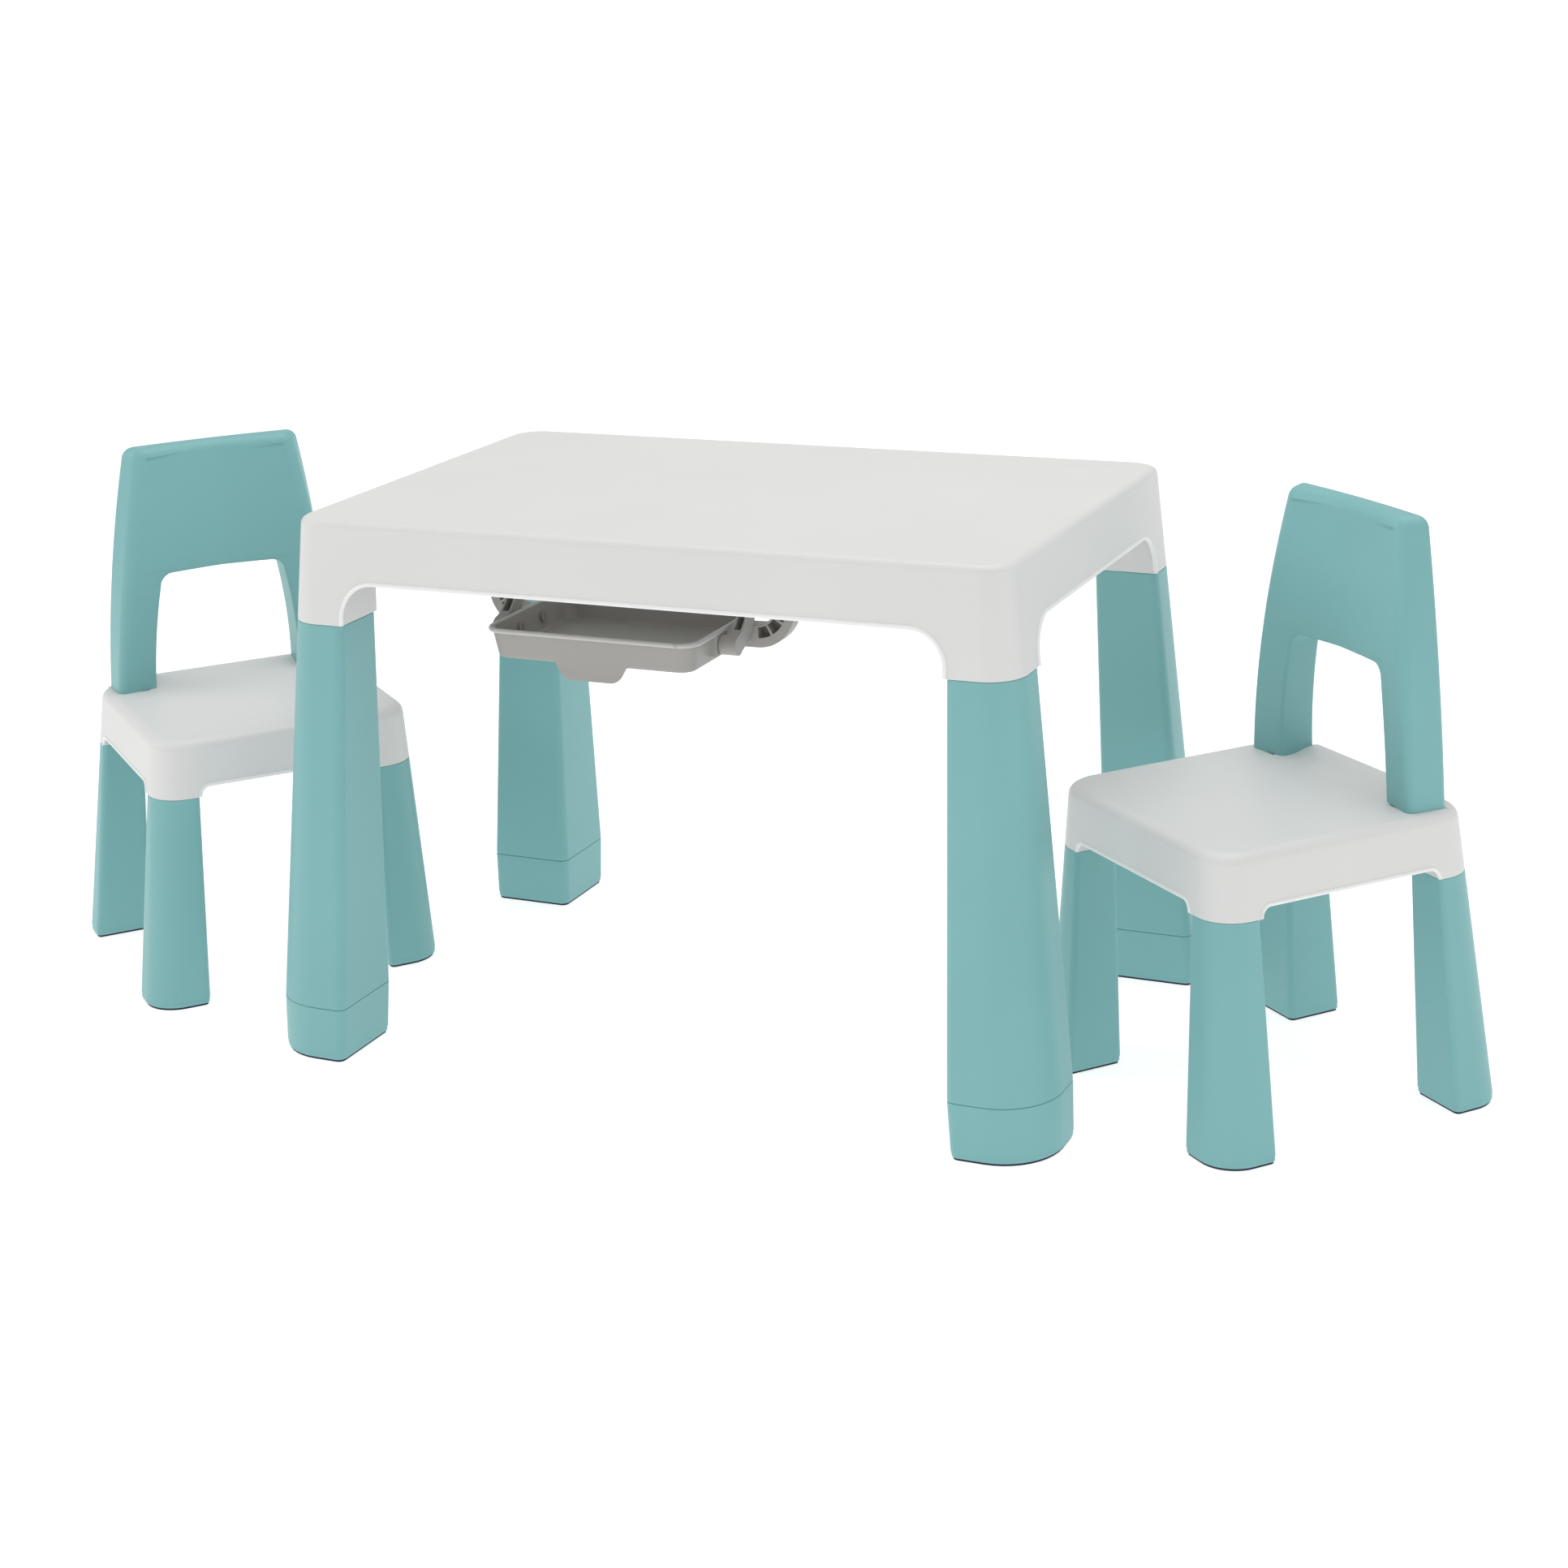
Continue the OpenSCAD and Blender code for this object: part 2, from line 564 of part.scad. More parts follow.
module seat_hollow(roof) difference() {
    loft([for (z = [seat_seam_z - 1, roof])
        lift(rounded_rect(chair_x(z) - wall, chair_y(z) - wall, chair_leg_r - wall), z)]);
    for (sx = [-1, 1], sy = [-1, 1]) quarter(sx, sy)
        translate([seat_inner_x, seat_inner_y, seat_seam_z - 2]) cube([chair_half_w, chair_half_d, seat_h]);
}
module seat_socket_hollow(roof) loft([for (z = [seat_seam_z - 1, roof])
    lift(leg_section(chair_x(z) - wall, chair_y(z) - wall, chair_x(z) - seat_inner_x - 2 * wall,
        chair_leg_r - wall, chair_leg_inner_r - wall), z)]);
// Pocket for a backrest tenon, grown by grow, between two heights.
module post_socket(grow, low, high) {
    g = grow + spigot_gap;
    x0 = opening_half_w + tenon_inset;
    x1 = back_half_w - tenon_inset;
    y0 = back_front_y + tenon_inset;
    y1 = back_front_y + back_bottom_t - tenon_inset;
    translate([x0 - g, y0 - g, low]) cube([x1 - x0 + 2 * g, y1 - y0 + 2 * g, high - low]);
}
// Low ridge that closes the gap between the posts.
module seat_ridge() {
    reach = opening_half_w - 1;
    y0 = back_front_y + 16;
    profile = [[0, 0], [0.15, 0.08], [0.3, 0.4], [0.45, 0.8], [0.6, 0.98], [0.75, 1], [0.87, 0.8], [0.94, 0.4]];
    translate([-reach, 0, 0]) upright_x() linear_extrude(2 * reach) polygon(concat(
        [[y0, seat_h - 1]], [for (p = profile) [y0 + ridge_d * p[0], seat_h + ridge_h * p[1]]],
        [[y0 + ridge_d, seat_h - seat_edge_r / 2]]));
}

// Share of the backrest's height at z, from 0 at the seat to 1 at the top.
function back_share(z) = (z - seat_h) / (back_h - seat_h);
function back_side(z) = back_half_w - back_draw_in * pow(back_share(z), 2);
function opening_side(z) = opening_half_w - opening_draw_in * pow((z - seat_h) / opening_h, 3);
// Backrest outline in (x, z), set in by inset.
function back_outline(inset) =
    let (z1 = back_h - back_corner_r,
        right = [for (i = [0:curve_steps]) let (z = seat_h + inset + (z1 - seat_h - inset) * i / curve_steps)
            [back_side(z) - inset, z]],
        corner = arc([back_side(z1) - back_corner_r, z1], back_corner_r - inset, 10, 90, 5),
        half = concat(right, corner))
    concat(half, [for (i = [len(half) - 1:-1:0]) [-half[i][0], half[i][1]]]);
function opening_outline(grow) =
    let (z1 = seat_h + opening_h - opening_r,
        right = [for (i = [0:curve_steps / 2]) let (z = seat_h - 1 + (z1 + 1 - seat_h) * i * 2 / curve_steps)
            [opening_side(z) + grow, z]],
        corner = arc([opening_side(z1) - opening_r, z1], opening_r + grow, 10, 90, 5),
        half = concat(right, corner))
    concat(half, [for (i = [len(half) - 1:-1:0]) [-half[i][0], half[i][1]]]);
// Side profile in (y, z): the front leans back and the thickness falls off towards the top.
function back_profile(inset) = concat(
    [for (i = [0:curve_steps]) let (z = seat_h + (back_h - seat_h) * i / curve_steps)
        [back_front_y + back_lean * pow(back_share(z), 2) + inset, z]],
    [for (i = [curve_steps:-1:0]) let (z = seat_h + (back_h - seat_h) * i / curve_steps, s = back_share(z))
        [back_front_y + back_bottom_t + (back_lean + back_top_t - back_bottom_t) * s * s - inset, z]]);

module back_shape(inset) intersection() {
    translate([0, 200, 0]) upright_y() linear_extrude(200) difference() {
        polygon(back_outline(inset));
        polygon(opening_outline(inset));
    }
    translate([-200, 0, 0]) upright_x() linear_extrude(400) polygon(back_profile(inset));
}
module backrest() color(teal) difference() {
    union() {
        back_shape(0);
        for (s = [-1, 1]) end_side(s) post_tenon(0, seat_h - tenon_h, seat_h + 1);
    }
    back_shape(wall);
    for (s = [-1, 1]) end_side(s) post_tenon(wall, seat_h - tenon_h - 1, seat_h + wall + 1);
}
module post_tenon(inset, low, high) {
    x0 = opening_half_w + tenon_inset + inset;
    x1 = back_half_w - tenon_inset - inset;
    y0 = back_front_y + tenon_inset + inset;
    y1 = back_front_y + back_bottom_t - tenon_inset - inset;
    translate([x0, y0, low]) cube([x1 - x0, y1 - y0, high - low]);
}

module chair_leg(sx, sy) color(teal) quarter(sx, sy) {
    z0 = pad_t;
    z1 = seat_seam_z;
    spigot_in = wall + spigot_gap;
    spigot_tip = spigot_in + spigot_gap + chair_spigot_h * max(chair_lean_x, chair_lean_y);
    difference() {
        union() {
            loft([chair_ring_at(z0, z0, chair_leg_foot_w, 0), chair_ring_at(z1, z1, chair_leg_top_w, 0)]);
            loft([chair_ring_at(z1, z1 - eps, chair_leg_top_w, spigot_in),
                chair_ring_at(z1, z1 + chair_spigot_h, chair_leg_top_w, spigot_tip)]);
        }
        loft([chair_ring_at(z0, z0 + wall, chair_leg_foot_w, wall + 1),
            chair_ring_at(z1, z1 - wall, chair_leg_top_w, wall + spigot_gap + wall)]);
    }
}
module chair_pad(sx, sy) color(dark) quarter(sx, sy) {
    linear_extrude(pad_t) polygon(leg_section(chair_x(pad_t) - pad_inset, chair_y(pad_t) - pad_inset,
        chair_leg_foot_w - 2 * pad_inset, chair_leg_r - pad_inset, chair_leg_inner_r - pad_inset));
}

tabletop();
table_leg(-1, -1);  // leg_front_left
table_leg(1, -1);  // leg_front_right
table_leg(-1, 1);  // leg_back_left
table_leg(1, 1);  // leg_back_right
extension(-1, -1);  // extension_front_left
extension(1, -1);  // extension_front_right
extension(-1, 1);  // extension_back_left
extension(1, 1);  // extension_back_right
table_pad(-1, -1);  // pad_front_left
table_pad(1, -1);  // pad_front_right
table_pad(-1, 1);  // pad_back_left
table_pad(1, 1);  // pad_back_right
tray_bracket(-1);  // tray_bracket_left
tray_bracket(1);  // tray_bracket_right
bracket_pins();
front_arm(-1);  // front_arm_left
front_arm(1);  // front_arm_right
rear_arm(-1);  // rear_arm_left
rear_arm(1);  // rear_arm_right
tray();
left_chair() seat();  // left_chair_seat
left_chair() backrest();  // left_chair_backrest
left_chair() chair_leg(-1, -1);  // left_chair_leg_front_left
left_chair() chair_leg(1, -1);  // left_chair_leg_front_right
left_chair() chair_leg(-1, 1);  // left_chair_leg_back_left
left_chair() chair_leg(1, 1);  // left_chair_leg_back_right
left_chair() chair_pad(-1, -1);  // left_chair_pad_front_left
left_chair() chair_pad(1, -1);  // left_chair_pad_front_right
left_chair() chair_pad(-1, 1);  // left_chair_pad_back_left
left_chair() chair_pad(1, 1);  // left_chair_pad_back_right
right_chair() seat();  // right_chair_seat
right_chair() backrest();  // right_chair_backrest
right_chair() chair_leg(-1, -1);  // right_chair_leg_front_left
right_chair() chair_leg(1, -1);  // right_chair_leg_front_right
right_chair() chair_leg(-1, 1);  // right_chair_leg_back_left
right_chair() chair_leg(1, 1);  // right_chair_leg_back_right
right_chair() chair_pad(-1, -1);  // right_chair_pad_front_left
right_chair() chair_pad(1, -1);  // right_chair_pad_front_right
right_chair() chair_pad(-1, 1);  // right_chair_pad_back_left
right_chair() chair_pad(1, 1);  // right_chair_pad_back_right
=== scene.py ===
"""Looks of the children's table and its two chairs: moulded shells, camera, light and plastics."""
import json
import math
import bmesh
import bpy
from mathutils import Matrix, Vector


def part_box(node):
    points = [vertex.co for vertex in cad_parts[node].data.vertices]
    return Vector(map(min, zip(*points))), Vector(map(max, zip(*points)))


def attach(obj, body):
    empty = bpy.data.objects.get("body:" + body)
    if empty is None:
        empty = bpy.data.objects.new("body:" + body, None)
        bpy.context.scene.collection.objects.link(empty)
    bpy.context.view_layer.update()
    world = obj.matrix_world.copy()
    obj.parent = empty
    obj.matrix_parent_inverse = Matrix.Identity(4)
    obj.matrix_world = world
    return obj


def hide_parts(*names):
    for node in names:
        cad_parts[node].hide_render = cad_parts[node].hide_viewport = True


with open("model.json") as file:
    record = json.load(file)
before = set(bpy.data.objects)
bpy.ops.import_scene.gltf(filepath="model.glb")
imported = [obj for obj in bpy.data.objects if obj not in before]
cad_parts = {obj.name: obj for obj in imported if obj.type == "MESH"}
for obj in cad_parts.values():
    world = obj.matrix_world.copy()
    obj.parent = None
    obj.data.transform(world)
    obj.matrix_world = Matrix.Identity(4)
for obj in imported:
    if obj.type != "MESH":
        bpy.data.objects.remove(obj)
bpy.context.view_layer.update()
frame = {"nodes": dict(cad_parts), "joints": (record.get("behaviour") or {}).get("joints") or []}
scene = bpy.context.scene
MM = 0.001


# ---------------------------------------------------------------- shader graphs
class Value:
    """An output socket that can be added, subtracted and multiplied."""

    def __init__(self, graph, socket):
        self.graph, self.socket = graph, socket

    def _math(self, operation, first, second):
        return self.graph.node("ShaderNodeMath", {"operation": operation}, [first, second])

    def __add__(self, other): return self._math("ADD", self, other)
    def __radd__(self, other): return self._math("ADD", other, self)
    def __sub__(self, other): return self._math("SUBTRACT", self, other)
    def __mul__(self, other): return self._math("MULTIPLY", self, other)

    def ramp(self, low, high):
        """0 up to low, 1 from high on, and even in between."""
        return self.graph.node("ShaderNodeMapRange", {"clamp": True}, [self, low, high, 0.0, 1.0])


class Graph:
    """A material's node tree, built one node at a time."""

    def __init__(self, name):
        self.material = bpy.data.materials.new(name)
        self.material.use_nodes = True
        self.tree = self.material.node_tree
        self.shader = self.tree.nodes["Principled BSDF"]

    def put(self, socket, value):
        if isinstance(value, Value):
            self.tree.links.new(value.socket, socket)
        else:
            socket.default_value = value

    def node(self, kind, settings, inputs, output=0):
        made = self.tree.nodes.new(kind)
        for key, value in settings.items():
            setattr(made, key, value)
        pairs = inputs.items() if isinstance(inputs, dict) else enumerate(inputs)
        for key, value in pairs:
            self.put(made.inputs[key], value)
        return Value(self, made.outputs[output])

    def mix(self, factor, first, second):
        return self.node("ShaderNodeMix", {"data_type": "RGBA"},
                         {0: factor, 6: first, 7: second}, 2)

    def bump(self, strength, depth, height):
        return self.node("ShaderNodeBump", {},
                         {"Strength": strength, "Distance": depth, "Height": height})

    def noise(self, scale, detail=2.0, stretch=(1, 1, 1)):
        where = self.node("ShaderNodeTexCoord", {}, {}, "Object")
        place = self.node("ShaderNodeVectorMath", {"operation": "MULTIPLY"}, [where, stretch])
        return self.node("ShaderNodeTexNoise", {},
                         {"Vector": place, "Scale": scale, "Detail": detail})


def shade(colour, factor):
    return tuple(min(1.0, c * factor) for c in colour) + (1.0,)


def moulded(name, colour, roughness, cloud=0.03):
    """Injection-moulded plastic: spark-eroded grain, faint flow lines and a slow drift in tone."""
    g = Graph(name)
    fine = g.noise(1500.0, 1.0)
    broad = g.noise(5.0, 3.0)
    flow = g.noise(14.0, 4.0, (1, 1, 0.15))
    specks = g.noise(160.0, 6.0).ramp(0.70, 0.76)
    tone = broad * 0.7 + flow * 0.3
    clean = g.mix(tone.ramp(0.35, 0.65), shade(colour, 1 - cloud), shade(colour, 1 + cloud))
    g.put(g.shader.inputs["Base Color"], g.mix(specks * 0.10, clean, shade(colour, 0.75)))
    g.put(g.shader.inputs["Roughness"], roughness + (fine - 0.5) * 0.10 + (flow - 0.5) * 0.12)
    g.put(g.shader.inputs["Normal"], g.bump(0.05, 0.0006, fine * 0.35 + flow * 0.65))
    g.shader.inputs["IOR"].default_value = 1.49
    return g.material


def rubber(name, colour):
    """Dull rubber with pores and a little dust."""
    g = Graph(name)
    pores = g.noise(700.0, 3.0)
    dust = g.noise(60.0, 4.0).ramp(0.4, 0.7)
    g.put(g.shader.inputs["Base Color"], g.mix(dust * 0.3, shade(colour, 1), shade(colour, 2.4)))
    g.put(g.shader.inputs["Roughness"], 0.62 + pores * 0.25)
    g.put(g.shader.inputs["Normal"], g.bump(0.3, 0.0004, pores))
    return g.material


WHITE = moulded("white moulded plastic", (0.722, 0.722, 0.713), 0.46, cloud=0.012)
TEAL = moulded("teal moulded plastic", (0.200, 0.455, 0.462), 0.44)
GREY = moulded("grey moulded plastic", (0.362, 0.347, 0.328), 0.40)
# A lighter copy of the white plastic: this is a painted highlight on the rolled edges.
WHITE_PAINTED_HIGHLIGHT = moulded("white rolled edge with painted highlight", (0.86, 0.86, 0.855), 0.34, cloud=0.012)
# A lighter copy of the grey plastic: this is a painted highlight on the tray's rolled rim, not
# wear.
GREY_PAINTED_HIGHLIGHT = moulded("grey rolled edge with painted highlight", (0.53, 0.52, 0.50), 0.32, cloud=0.02)
RUBBER = rubber("anti-slip rubber", (0.012, 0.015, 0.035))


# ---------------------------------------------------------------- mesh helpers
WELD = 0.00002         # points of a CAD mesh closer than this are one
FLAT_DEGREES = 0.4     # faces that meet at less than this are one flat face
BEVEL_DEGREES = 40.0   # edges sharper than this are rounded
SHARP_DEGREES = 50     # edges still sharper than this keep a crease
FACE_WEIGHT = 80


def finish_piece(name, bm, material, body, nodes=()):
    """Turns a bmesh into a finished piece that rides on a body and stands for its CAD nodes."""
    bmesh.ops.recalc_face_normals(bm, faces=bm.faces)
    if bm.calc_volume(signed=True) < 0:
        bmesh.ops.reverse_faces(bm, faces=bm.faces)
    mesh = bpy.data.meshes.new(name)
    for face in bm.faces:
        face.smooth = True
    bm.to_mesh(mesh)
    bm.free()
    piece = bpy.data.objects.new(name, mesh)
    scene.collection.objects.link(piece)
    mesh.materials.append(material)
    weigh = piece.modifiers.new("even normals", "WEIGHTED_NORMAL")
    weigh.keep_sharp = True
    weigh.weight = FACE_WEIGHT
    evaluated = piece.evaluated_get(bpy.context.evaluated_depsgraph_get())
    made = bpy.data.meshes.new_from_object(evaluated)
    piece.modifiers.clear()
    piece.data = made
    made.name = name
    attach(piece, body)
    if nodes:
        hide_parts(*nodes)
    return piece


def mark_sharp(bm, degrees=SHARP_DEGREES):
    limit = math.radians(degrees)
    for edge in bm.edges:
        edge.smooth = edge.calc_face_angle(math.pi) < limit


def round_edges(bm, edges, width, segments):
    bmesh.ops.bevel(bm, geom=edges, offset=width, offset_type="OFFSET", segments=segments,
                    profile=0.5, affect="EDGES", clamp_overlap=False)


def soften(bm, width, segments, degrees=BEVEL_DEGREES, keep=lambda edge: True):
    """Rounds the edges sharper than the given angle that keep says yes to."""
    limit = math.radians(degrees)
    round_edges(bm, [e for e in bm.edges
                     if e.is_manifold and e.calc_face_angle(0.0) > limit and keep(e)],
                width, segments)


def cut(bm, point, normal, distance):
    bmesh.ops.bisect_plane(bm, geom=bm.verts[:] + bm.edges[:] + bm.faces[:], dist=distance,
                           plane_co=point, plane_no=normal)


def from_cad(node):
    """A clean copy of a CAD node: welded, with its flat faces whole."""
    bm = bmesh.new()
    bm.from_mesh(frame["nodes"][node].data)
    bmesh.ops.remove_doubles(bm, verts=bm.verts, dist=WELD)
    bmesh.ops.dissolve_limit(bm, angle_limit=math.radians(FLAT_DEGREES), verts=bm.verts,
                             edges=bm.edges, use_dissolve_boundaries=False, delimit=set())
    return bm


STEP_RISE, STEP_DEPTH = 0.0003, 0.0006


def set_in_foot(bm, step):
    """Draws everything below the height in by a hair, which leaves a small step round the foot."""
    for height in (step, step + STEP_RISE):
        cut(bm, (0, 0, height), (0, 0, 1), 1e-6)
    feet = [v for v in bm.verts if v.co.z < step + 0.0001]
    centre = sum((v.co for v in feet), Vector()) / len(feet)
    for v in feet:
        away = Vector((v.co.x - centre.x, v.co.y - centre.y, 0))
        v.co -= away.normalized() * STEP_DEPTH


def moulded_copy(node, body, material, width, step=0.0):
    """A CAD node with its edges rounded; step gives the height of a small set-in round the foot."""
    bm = from_cad(node)
    if step:
        set_in_foot(bm, step)

    def off_the_step(edge):
        low, high = sorted(v.co.z for v in edge.verts)
        return not step or high - low > 0.0002 or abs(low - step) > 2 * STEP_RISE
    soften(bm, width, 2, keep=off_the_step)
    mark_sharp(bm)
    return finish_piece(node + "_shell", bm, material, body, [node])


def tube(bm, path, radius, sides=10):
    """A round bead along an open path, closed at both ends."""
    rings = []
    turns = [2 * math.pi * k / sides for k in range(sides)]
    for i, point in enumerate(path):
        ahead = (path[min(i + 1, len(path) - 1)] - path[max(i - 1, 0)]).normalized()
        side = ahead.cross(Vector((0.3, 0.2, 1.0))).normalized()
        up = side.cross(ahead)
        rings.append([bm.verts.new(point + radius * (math.cos(t) * side + math.sin(t) * up))
                      for t in turns])
    for low, high in zip(rings, rings[1:]):
        for k in range(sides):
            after = (k + 1) % sides
            bm.faces.new((low[k], low[after], high[after], high[k]))
    bm.faces.new(rings[0])
    bm.faces.new(rings[-1])


def rubber_pad(node):
    materials = frame["nodes"][node].data.materials
    materials.clear()
    materials.append(RUBBER)


# ---------------------------------------------------------------- where things stand
def middle(box):
    low, high = box
    return (low + high) / 2


table_middle = middle(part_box("tabletop"))
tray_middle = middle(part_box("tray"))
SIDES = ("left", "right")
CORNERS = ("front_left", "front_right", "back_left", "back_right")
CHAIR_TURNS = {"right": -40.0, "left": 50.0}   # degrees about the upright
FOOT_STEP = 0.0062
FOOT_ROUNDING = 0.0008

# ---------------------------------------------------------------- table
moulded_copy("tabletop", "table", WHITE, 0.0009)
for corner in CORNERS:
    moulded_copy("leg_" + corner, "table", TEAL, 0.0011)
    moulded_copy("extension_" + corner, "table", TEAL, FOOT_ROUNDING, FOOT_STEP)
    rubber_pad("pad_" + corner)

BEAD_SUNK = 0.30    # how far a bead's middle lies inside the face, as a share of its radius
BEAD_LIFT = 0.0008  # a bead ends this far above the seam


def apron_edge(half_along, seam, apron, radius, steps=10):
    """Outline of the cut-out between two sockets as (along, height) points."""
    points = [(-half_along, seam)]
    for s in (-1, 1):
        arc = [(s * (half_along - radius) + s * radius * math.cos(a),
                apron - radius + radius * math.sin(a))
               for a in (math.pi / 2 * k / steps for k in range(steps + 1))]
        points += arc if s < 0 else arc[::-1]
    return points + [(half_along, seam)]


def apron_beads(name, body, place, half_x, half_y, span_x, span_y, seam, apron, radius, bead):
    """The rolled edge along the four cut-outs of an apron, in a lighter white that paints a
    highlight on it; half_x and half_y give its faces.
    """
    bm = bmesh.new()
    sunk = bead * BEAD_SUNK
    along_x = apron_edge(span_x, seam + BEAD_LIFT, apron, radius)
    along_y = apron_edge(span_y, seam + BEAD_LIFT, apron, radius)
    for sign in (-1, 1):
        tube(bm, [place @ Vector((a, sign * (half_y(z) - sunk), z)) for a, z in along_x], bead)
        tube(bm, [place @ Vector((sign * (half_x(z) - sunk), a, z)) for a, z in along_y], bead)
    # The beads are painted lighter than the white plastic around them, as a painted highlight.
    return finish_piece(name, bm, WHITE_PAINTED_HIGHLIGHT, body)


def top_x(z): return (355.5 + 0.064 * (500 - z / MM)) * MM
def top_y(z): return (226.5 + 0.076 * (500 - z / MM)) * MM


apron_beads("tabletop_rolled_edges", "table", Matrix.Translation((table_middle.x, 0, 0)),
            top_x, top_y, span_x=0.2987, span_y=0.1709, seam=0.403, apron=0.444,
            radius=0.032, bead=0.0021)

# ---------------------------------------------------------------- tray and arms
PULL_TOP = 0.359              # the finger pull hangs below this height
RIM_HALF = (0.1076, 0.079)    # half the rim's outline, across and from front to back
RIM_CORNER, RIM_BEND = 0.0188, 0.0178
RIM_HEIGHT, RIM_BEAD = 0.3988, 0.0023
RIM_STEPS = 8


def rounded_pull(edge):
    """The lower corners of the finger pull: edges that run front to back below the tray's floor."""
    a, b = (v.co for v in edge.verts)
    return max(a.z, b.z) < PULL_TOP and abs(a.y - b.y) > 0.002


tray = from_cad("tray")
soften(tray, 0.007, 5, keep=rounded_pull)
soften(tray, 0.0006, 2, 50)
mark_sharp(tray)
finish_piece("tray_shell", tray, GREY, "tray_body", ["tray"])

rim_path = []
for sx, sy, start in ((1, -1, -90), (1, 1, 0), (-1, 1, 90), (-1, -1, 180)):
    for k in range(RIM_STEPS + 1):
        t = math.radians(start + 90 * k / RIM_STEPS)
        rim_path.append(Vector((
            tray_middle.x + sx * (RIM_HALF[0] - RIM_CORNER) + RIM_BEND * math.cos(t),
            tray_middle.y + sy * (RIM_HALF[1] - RIM_CORNER) + RIM_BEND * math.sin(t),
            RIM_HEIGHT)))
rim = bmesh.new()
tube(rim, rim_path + rim_path[:2], RIM_BEAD, 14)
# The rim is painted lighter than the grey tray, as a painted highlight along its bead.
finish_piece("tray_rolled_rim", rim, GREY_PAINTED_HIGHLIGHT, "tray_body")

ARM_ROUNDING, PIN_ROUNDING = 0.0004, 0.0003
for side in SIDES:
    for node, body in (("front_arm_", "front_arms"), ("rear_arm_", "rear_arms"),
                       ("tray_bracket_", "table")):
        moulded_copy(node + side, body, GREY, ARM_ROUNDING)
moulded_copy("bracket_pins", "table", GREY, PIN_ROUNDING)


# ---------------------------------------------------------------- chairs
def seat_x(z): return (148.5 - 0.076 * (z / MM - 2)) * MM
def seat_y(z): return (149.5 - 0.067 * (z / MM - 2)) * MM


# The backrest is drawn in millimetres in the chair's own frame, and z is a height in it.
BACK_TOP, WINDOW_TOP, SEAT_TOP = 507.6, 375.0, 258.0
TOP_CORNER = (12.6, 13)      # across and up
WINDOW_CORNER = (13.5, 14)
SIDE_TOP = BACK_TOP - TOP_CORNER[1]
POST_TOP = WINDOW_TOP - WINDOW_CORNER[1]
UPPER_START = 385.0
HALF_AT_SEAT = 119
REAR_BULGE = 3


def share(z): return (z - 258) / 250
def outer_side(z): return HALF_AT_SEAT - 24 * share(z) ** 2
def inner_side(z): return 77 - 13 * ((z - 258) / 117) ** 2
def back_front(z): return 71.3 + 24 * share(z) ** 2
def back_rear(z): return 113.5 + 8 * share(z) ** 2
def front_hollow(z): return 13.5 - 3.5 * share(z)
def front_narrowing(z): return (1 + 17 * share(z)) / HALF_AT_SEAT


POST_LEVELS = [SEAT_TOP + (POST_TOP - SEAT_TOP) * i / 10 for i in range(11)]
UPPER_LEVELS = [UPPER_START + (SIDE_TOP - UPPER_START) * i / 9 for i in range(10)]
COLUMNS = (-40.3, -13.3, 13.7, 40.7)


def corner_arc(side, height, corner):
    """A rounded corner that leaves the given side at the given height, as (x, z) points."""
    across, up = corner
    return [(side - across + across * math.cos(t), height + up * math.sin(t))
            for t in (math.pi / 16 * k for k in range(2, 9))]


def backrest_outline():
    """The arch of a backrest as one closed outline in (x, z)."""
    right = [(outer_side(z), z) for z in POST_LEVELS + UPPER_LEVELS]
    right += corner_arc(outer_side(SIDE_TOP), SIDE_TOP, TOP_CORNER)
    crown = [(x, BACK_TOP + 0.35 * (1 - (x / 80) ** 2)) for x in (50, 0, -50)]
    outside = right + crown + [(-x, z) for x, z in reversed(right)]
    post = [(inner_side(z), z) for z in POST_LEVELS]
    post += corner_arc(inner_side(POST_TOP), POST_TOP, WINDOW_CORNER)
    inside = [(-x, z) for x, z in post] + [(0, WINDOW_TOP + 1.2)] + list(reversed(post))
    return outside + inside


def in_window(x, z):
    """Whether a point of the outline belongs to the window or to the inner side of a post."""
    post_middle = (outer_side(z) + inner_side(min(z, POST_TOP))) / 2
    return z < WINDOW_TOP + 3 and abs(x) < post_middle


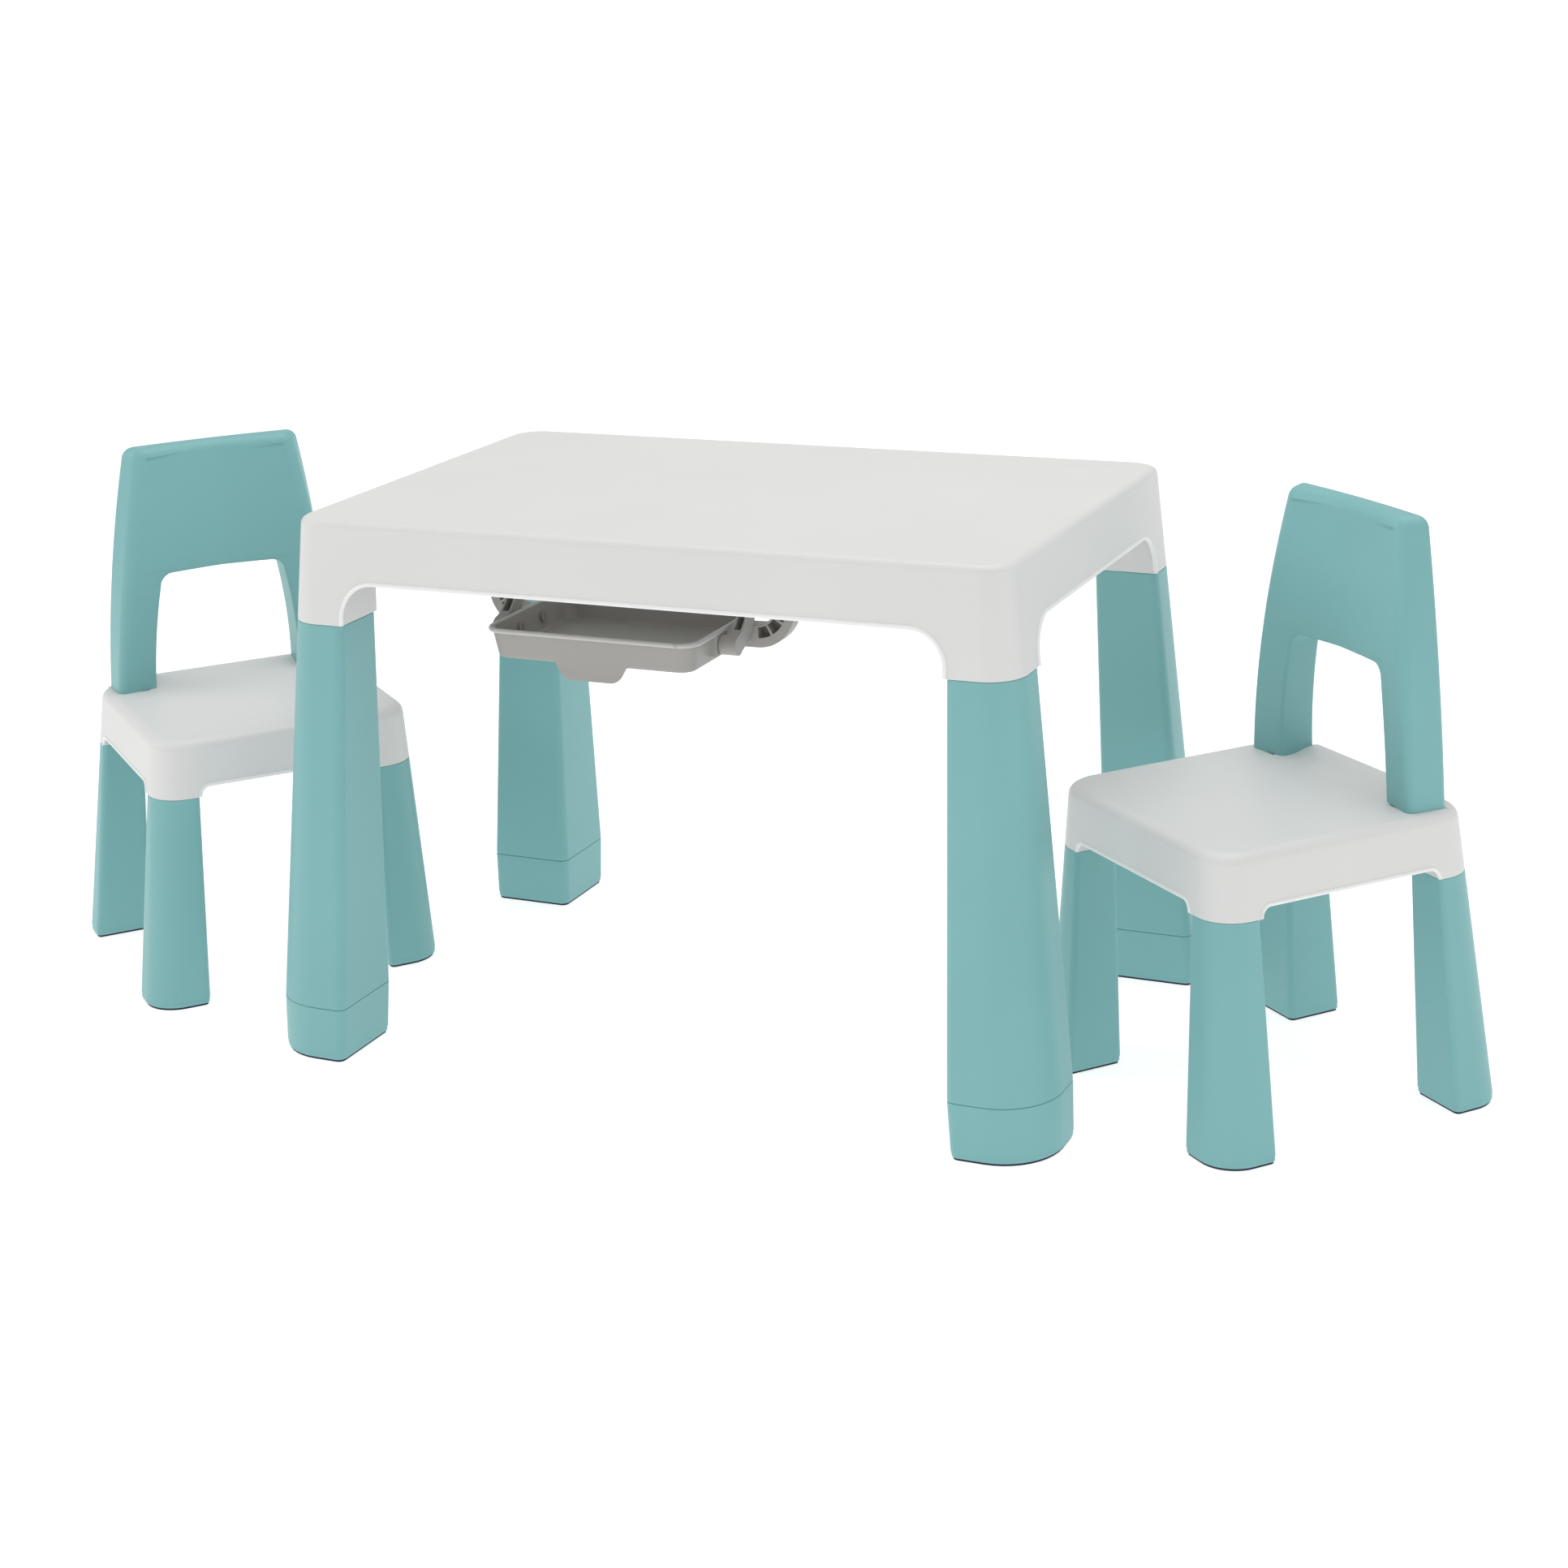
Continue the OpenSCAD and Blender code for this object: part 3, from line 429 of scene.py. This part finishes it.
def make_backrest(name, body, place, node):
    """The arch, thickened, cut into rows and columns, bent and narrowed, then rounded."""
    bm = bmesh.new()
    flat = bm.faces.new([bm.verts.new((x, 0, z)) for x, z in backrest_outline()])
    made = bmesh.ops.extrude_face_region(bm, geom=[flat])
    for v in (g for g in made["geom"] if isinstance(g, bmesh.types.BMVert)):
        v.co.y = 1.0
    for z in POST_LEVELS[1:] + UPPER_LEVELS:
        cut(bm, (0, 0, z), (0, 0, 1), 1e-4)
    for x in COLUMNS:
        cut(bm, (x, 0, 0), (1, 0, 0), 1e-4)
    front_verts = set()
    for v in bm.verts:
        x, z = v.co.x, v.co.z
        wrap = 1 - (x / outer_side(z)) ** 2
        if v.co.y > 0.5:
            v.co = Vector((x, back_rear(z) + REAR_BULGE * wrap, z)) * MM
            continue
        front_verts.add(v)
        if not in_window(x, z):
            x *= 1 - front_narrowing(z)
        v.co = Vector((x, back_front(z) + front_hollow(z) * wrap, z)) * MM
    bmesh.ops.recalc_face_normals(bm, faces=bm.faces)
    above_seat = (SEAT_TOP + 0.5) * MM
    sharp = [e for e in bm.edges if e.calc_face_angle(0.0) > math.radians(SHARP_DEGREES)
             and max(v.co.z for v in e.verts) > above_seat]
    window = [e for e in sharp if all(in_window(v.co.x / MM, v.co.z / MM) for v in e.verts)]
    outer = [e for e in sharp if e not in window]
    front = [e for e in outer if all(v in front_verts for v in e.verts)]
    rear = [e for e in outer if not any(v in front_verts for v in e.verts)]
    for edges, width, segments in ((front, 0.0105, 7), (rear, 0.0070, 5), (window, 0.0030, 3)):
        round_edges(bm, [e for e in edges if e.is_valid], width, segments)
    for v in bm.verts:
        v.co = place @ v.co
    mark_sharp(bm, 60)
    return finish_piece(name, bm, TEAL, body, [node])


for side, turn in CHAIR_TURNS.items():
    body = side + "_chair"
    slide = next(j for j in frame["joints"] if j["name"] == body + "_slide")
    place = Matrix.Translation(Vector(slide["pos_m"])) @ Matrix.Rotation(math.radians(turn), 4, "Z")
    moulded_copy(body + "_seat", body, WHITE, 0.0007)
    make_backrest(body + "_backrest_shell", body, place, body + "_backrest")
    apron_beads(body + "_seat_rolled_edges", body, place, seat_x, seat_y,
                span_x=0.0898, span_y=0.0926, seam=0.202, apron=0.213,
                radius=0.010, bead=0.0018)
    for corner in CORNERS:
        moulded_copy(f"{body}_leg_{corner}", body, TEAL, FOOT_ROUNDING, FOOT_STEP)
        rubber_pad(f"{body}_pad_{corner}")

# ---------------------------------------------------------------- studio
FLOOR_HALF, FLOOR_DROP, FLOOR_GLOW, SKY_GLOW = 60, 0.0002, 0.70, 0.60

floor_graph = Graph("pale studio floor")
drift = floor_graph.noise(0.7, 2.0)
floor_inputs = floor_graph.shader.inputs
floor_graph.put(floor_inputs["Base Color"],
                floor_graph.mix(drift.ramp(0.3, 0.7), (0.58, 0.58, 0.58, 1), (0.62, 0.62, 0.62, 1)))
floor_graph.put(floor_inputs["Roughness"], 0.75 + drift * 0.1)
floor_inputs["Specular IOR Level"].default_value = 0.1
floor_inputs["Emission Color"].default_value = (1, 1, 1, 1)
floor_inputs["Emission Strength"].default_value = FLOOR_GLOW
bm = bmesh.new()
bmesh.ops.create_grid(bm, x_segments=1, y_segments=1, size=FLOOR_HALF)
floor_mesh = bpy.data.meshes.new("studio floor")
bm.to_mesh(floor_mesh)
bm.free()
floor_mesh.materials.append(floor_graph.material)
floor = bpy.data.objects.new("studio_floor", floor_mesh)
floor.location.z = -FLOOR_DROP
scene.collection.objects.link(floor)

world = bpy.data.worlds.new("studio light")
scene.world = world
world.use_nodes = True
world.node_tree.nodes["Background"].inputs["Color"].default_value = (1, 1, 1, 1)
world.node_tree.nodes["Background"].inputs["Strength"].default_value = SKY_GLOW


def softbox(name, place, aim_height, width, height, power):
    """A rectangular light aimed at a point above the middle of the floor."""
    light = bpy.data.lights.new(name, "AREA")
    light.shape = "RECTANGLE"
    light.size, light.size_y, light.energy = width, height, power
    lamp = bpy.data.objects.new(name, light)
    lamp.location = place
    lamp.rotation_mode = "QUATERNION"
    aim = Vector((0, 0, aim_height)) - Vector(place)
    lamp.rotation_quaternion = aim.to_track_quat("-Z", "Y")
    scene.collection.objects.link(lamp)


softbox("key softbox", (-8.2, -2.9, 4.2), 0.25, 4.5, 4.0, 138)
softbox("overhead softbox", (0.3, 0.2, 3.2), 0.3, 3.0, 2.4, 42)
softbox("right softbox", (3.6, -1.6, 1.4), 0.25, 1.6, 1.8, 4)

# ---------------------------------------------------------------- camera
# The lens is shifted by leaning the camera's own depth axis, so the verticals stay upright.
# The focal length and the shift are shares of the frame's width; the angles are in radians.
FOCAL, YAW, PITCH, ROLL = 1.8675673, 0.4242, 0.0561, -0.0338
SHIFT_ACROSS, SHIFT_UP = 0.005383, -0.4720497
EYE = (1.18696, -2.50166, 1.08051)   # from the point on the floor below the table's middle
SENSOR = 36.0

ahead = Vector((-math.sin(YAW) * math.cos(PITCH), math.cos(YAW) * math.cos(PITCH),
                -math.sin(PITCH)))
level = Vector((math.cos(YAW), math.sin(YAW), 0))
above = level.cross(ahead)
across = math.cos(ROLL) * level + math.sin(ROLL) * above
upright = math.cos(ROLL) * above - math.sin(ROLL) * level
depth = ahead + across * (SHIFT_ACROSS / FOCAL) + upright * (SHIFT_UP / FOCAL)
lens = bpy.data.cameras.new("camera")
lens.sensor_width = SENSOR
lens.lens = FOCAL * depth.length * SENSOR
lens.clip_end = 200.0
camera = bpy.data.objects.new("camera", lens)
rig = bpy.data.objects.new("camera rig", None)
scene.collection.objects.link(camera)
scene.collection.objects.link(rig)
standing = Matrix.Identity(4)
for column, axis in enumerate((across, upright, -depth.normalized(), Vector(EYE))):
    standing.col[column][:3] = axis
standing.col[3][0] += table_middle.x
camera.parent = rig
camera.matrix_parent_inverse = standing
scene.camera = camera
scene.view_settings.view_transform = "Standard"
scene.view_settings.look = "None"

bpy.context.view_layer.update()
